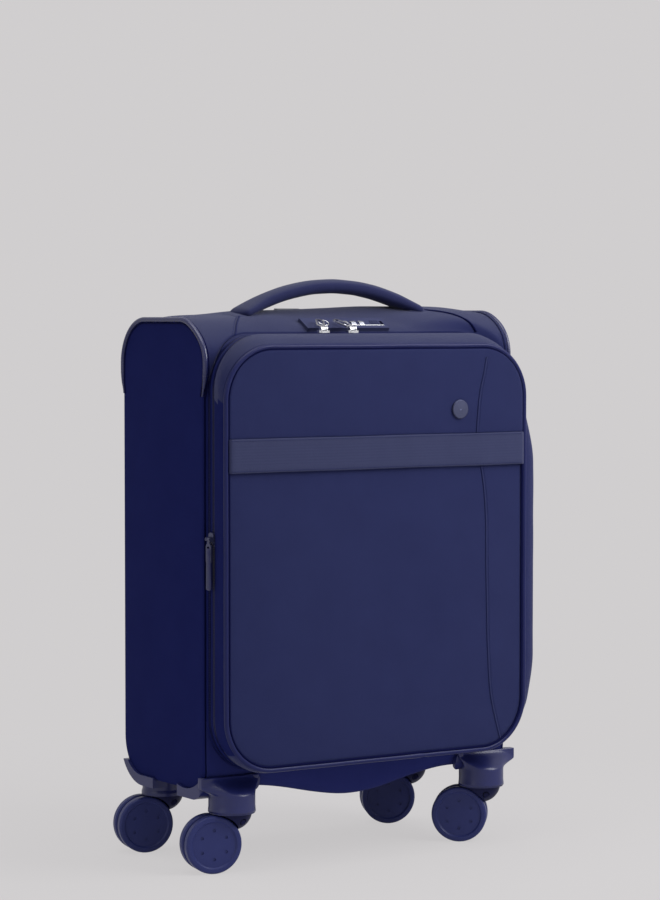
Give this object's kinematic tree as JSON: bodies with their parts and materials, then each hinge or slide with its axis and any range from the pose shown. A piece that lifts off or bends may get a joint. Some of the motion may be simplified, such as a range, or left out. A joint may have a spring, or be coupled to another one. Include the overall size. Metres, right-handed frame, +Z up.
{
  "type": "softside upright suitcase",
  "caption": "Navy softside cabin suitcase with zipped expanding lid, padded carry handle, combination lock, telescopic trolley handle and swivelling twin-wheel casters.",
  "frame": {"origin": "on the floor under the middle of the case", "axes": "+Z up, the lid's face towards -Y, the lid's hinge on the +X side"},
  "size_m": [0.4071, 0.2125, 0.588],
  "materials": {
    "shell_fabric": "navy woven nylon",
    "front_fabric": "navy woven nylon, slightly lighter",
    "piping": "navy covered piping cord",
    "zip_chain": "navy coil zip",
    "bright_metal": "polished die-cast zinc",
    "lock_metal": "dark satin with a bright edge",
    "dial": "pale moulded dials",
    "tube_metal": "satin anodised tube",
    "dark_plastic": "dark moulded plastic",
    "button_plastic": "grey moulded plastic",
    "guard_plastic": "satin navy moulded plastic",
    "wheel_plastic": "satin navy wheel",
    "badge_metal": "bare round plate",
    "lining": "thin woven lining",
    "webbing": "flat webbing"
  },
  "bodies": {
    "case": {"side_panel_left": "shell_fabric", "side_panel_right": "shell_fabric", "top_yoke": "shell_fabric", "back_panel": "shell_fabric", "bottom_panel": "shell_fabric", "front_rim": "shell_fabric", "zip_chain_case": "zip_chain", "side_piping": "piping", "carry_handle": "shell_fabric", "handle_anchors": "shell_fabric", "lock_housing": "lock_metal", "trolley_bezel": "dark_plastic", "trolley_outer_tubes": "tube_metal", "trolley_base": "dark_plastic", "back_lining": "lining", "packing_straps": "webbing", "strap_buckle": "dark_plastic", "corner_guard_front_left": "guard_plastic", "corner_guard_front_right": "guard_plastic", "corner_guard_rear_left": "guard_plastic", "corner_guard_rear_right": "guard_plastic", "lid_hinge_strip": "shell_fabric"},
    "lid_frame": {"lid_ring": "shell_fabric", "zip_chains_lid": "zip_chain", "expander_gusset": "shell_fabric"},
    "lid_front": {"zip_chain_expander": "zip_chain", "lid_gusset": "shell_fabric", "front_panel": "front_fabric", "lid_piping": "piping", "upper_pocket": "front_fabric", "pocket_band": "front_fabric", "badge": "badge_metal"},
    "slider_left": {"main_slider_left": "bright_metal"},
    "slider_right": {"main_slider_right": "bright_metal"},
    "pull_left": {"main_pull_left": "bright_metal"},
    "pull_right": {"main_pull_right": "bright_metal"},
    "expander_slider": {"expander_slider": "bright_metal"},
    "expander_pull": {"expander_pull": "bright_metal"},
    "dial_1": {"lock_dial_1": "dial"},
    "dial_2": {"lock_dial_2": "dial"},
    "dial_3": {"lock_dial_3": "dial"},
    "release": {"lock_release": "dial"},
    "stage_1": {"trolley_stage_1": "tube_metal"},
    "stage_2": {"trolley_stage_2": "tube_metal", "trolley_grip": "dark_plastic"},
    "button": {"trolley_button": "button_plastic"},
    "caster_front_left": {"fork_front_left": "guard_plastic"},
    "wheel_front_left_a": {"wheel_front_left_a": "wheel_plastic"},
    "wheel_front_left_b": {"wheel_front_left_b": "wheel_plastic"},
    "caster_front_right": {"fork_front_right": "guard_plastic"},
    "wheel_front_right_a": {"wheel_front_right_a": "wheel_plastic"},
    "wheel_front_right_b": {"wheel_front_right_b": "wheel_plastic"},
    "caster_rear_left": {"fork_rear_left": "guard_plastic"},
    "wheel_rear_left_a": {"wheel_rear_left_a": "wheel_plastic"},
    "wheel_rear_left_b": {"wheel_rear_left_b": "wheel_plastic"},
    "caster_rear_right": {"fork_rear_right": "guard_plastic"},
    "wheel_rear_right_a": {"wheel_rear_right_a": "wheel_plastic"},
    "wheel_rear_right_b": {"wheel_rear_right_b": "wheel_plastic"}
  },
  "joints": [
    {"name": "lid_hinge", "type": "hinge", "parent": "case", "child": "lid_frame", "pos_m": [0.1868, -0.0641, 0.318], "axis": [0, 0, 1], "range_deg": [0, 165], "deforming": ["lid_hinge_strip"]},
    {"name": "expander", "type": "slide", "parent": "lid_frame", "child": "lid_front", "axis": [0, -1, 0], "range_m": [0, 0.03], "deforming": ["expander_gusset"]},
    {"name": "zip_left", "type": "slide", "parent": "case", "child": "slider_left", "axis": [-1, 0, 0], "range_m": [0, 0.07]},
    {"name": "pull_left_swing", "type": "hinge", "parent": "slider_left", "child": "pull_left", "pos_m": [-0.046, -0.0641, 0.5412], "axis": [1, 0, 0], "range_deg": [0, 140]},
    {"name": "zip_right", "type": "slide", "parent": "case", "child": "slider_right", "axis": [1, 0, 0], "range_m": [0, 0.12]},
    {"name": "pull_right_swing", "type": "hinge", "parent": "slider_right", "child": "pull_right", "pos_m": [-0.011, -0.0641, 0.5412], "axis": [1, 0, 0], "range_deg": [0, 140]},
    {"name": "expander_zip", "type": "slide", "parent": "lid_frame", "child": "expander_slider", "axis": [0, 0, 1], "range_m": [-0.15, 0.12]},
    {"name": "expander_pull_swing", "type": "hinge", "parent": "expander_slider", "child": "expander_pull", "pos_m": [-0.1862, -0.0733, 0.334], "axis": [0, 1, 0], "range_deg": [0, 120]},
    {"name": "dial_1_turn", "type": "hinge", "parent": "case", "child": "dial_1", "pos_m": [-0.0035, -0.03685, 0.54285], "axis": [1, 0, 0], "continuous": true},
    {"name": "dial_2_turn", "type": "hinge", "parent": "case", "child": "dial_2", "pos_m": [0.0063, -0.03685, 0.54285], "axis": [1, 0, 0], "continuous": true},
    {"name": "dial_3_turn", "type": "hinge", "parent": "case", "child": "dial_3", "pos_m": [0.0161, -0.03685, 0.54285], "axis": [1, 0, 0], "continuous": true},
    {"name": "release_slide", "type": "slide", "parent": "case", "child": "release", "axis": [1, 0, 0], "range_m": [0, 0.004], "stiffness_N_per_m": 200},
    {"name": "trolley_lower", "type": "slide", "parent": "case", "child": "stage_1", "axis": [0, 0, 1], "range_m": [0, 0.21]},
    {"name": "trolley_upper", "type": "slide", "parent": "stage_1", "child": "stage_2", "axis": [0, 0, 1], "range_m": [0, 0.22]},
    {"name": "button_press", "type": "slide", "parent": "stage_2", "child": "button", "axis": [0, 0, -1], "range_m": [0, 0.003], "stiffness_N_per_m": 600},
    {"name": "swivel_front_left", "type": "hinge", "parent": "case", "child": "caster_front_left", "pos_m": [-0.1535, -0.062, 0.06], "axis": [0, 0, 1], "continuous": true},
    {"name": "spin_front_left_a", "type": "hinge", "parent": "caster_front_left", "child": "wheel_front_left_a", "pos_m": [-0.17551, -0.05732, 0.029], "axis": [0.2079, 0.9781, 0], "continuous": true},
    {"name": "spin_front_left_b", "type": "hinge", "parent": "caster_front_left", "child": "wheel_front_left_b", "pos_m": [-0.17551, -0.05732, 0.029], "axis": [0.2079, 0.9781, 0], "continuous": true},
    {"name": "swivel_front_right", "type": "hinge", "parent": "case", "child": "caster_front_right", "pos_m": [0.1535, -0.062, 0.06], "axis": [0, 0, 1], "continuous": true},
    {"name": "spin_front_right_a", "type": "hinge", "parent": "caster_front_right", "child": "wheel_front_right_a", "pos_m": [0.13626, -0.04754, 0.029], "axis": [0.6428, 0.766, 0], "continuous": true},
    {"name": "spin_front_right_b", "type": "hinge", "parent": "caster_front_right", "child": "wheel_front_right_b", "pos_m": [0.13626, -0.04754, 0.029], "axis": [0.6428, 0.766, 0], "continuous": true},
    {"name": "swivel_rear_left", "type": "hinge", "parent": "case", "child": "caster_rear_left", "pos_m": [-0.1535, 0.075, 0.06], "axis": [0, 0, 1], "continuous": true},
    {"name": "spin_rear_left_a", "type": "hinge", "parent": "caster_rear_left", "child": "wheel_rear_left_a", "pos_m": [-0.17551, 0.07968, 0.029], "axis": [0.2079, 0.9781, 0], "continuous": true},
    {"name": "spin_rear_left_b", "type": "hinge", "parent": "caster_rear_left", "child": "wheel_rear_left_b", "pos_m": [-0.17551, 0.07968, 0.029], "axis": [0.2079, 0.9781, 0], "continuous": true},
    {"name": "swivel_rear_right", "type": "hinge", "parent": "case", "child": "caster_rear_right", "pos_m": [0.1535, 0.075, 0.06], "axis": [0, 0, 1], "continuous": true},
    {"name": "spin_rear_right_a", "type": "hinge", "parent": "caster_rear_right", "child": "wheel_rear_right_a", "pos_m": [0.13328, 0.08486, 0.029], "axis": [0.4384, 0.8988, 0], "continuous": true},
    {"name": "spin_rear_right_b", "type": "hinge", "parent": "caster_rear_right", "child": "wheel_rear_right_b", "pos_m": [0.13328, 0.08486, 0.029], "axis": [0.4384, 0.8988, 0], "continuous": true}
  ]
}
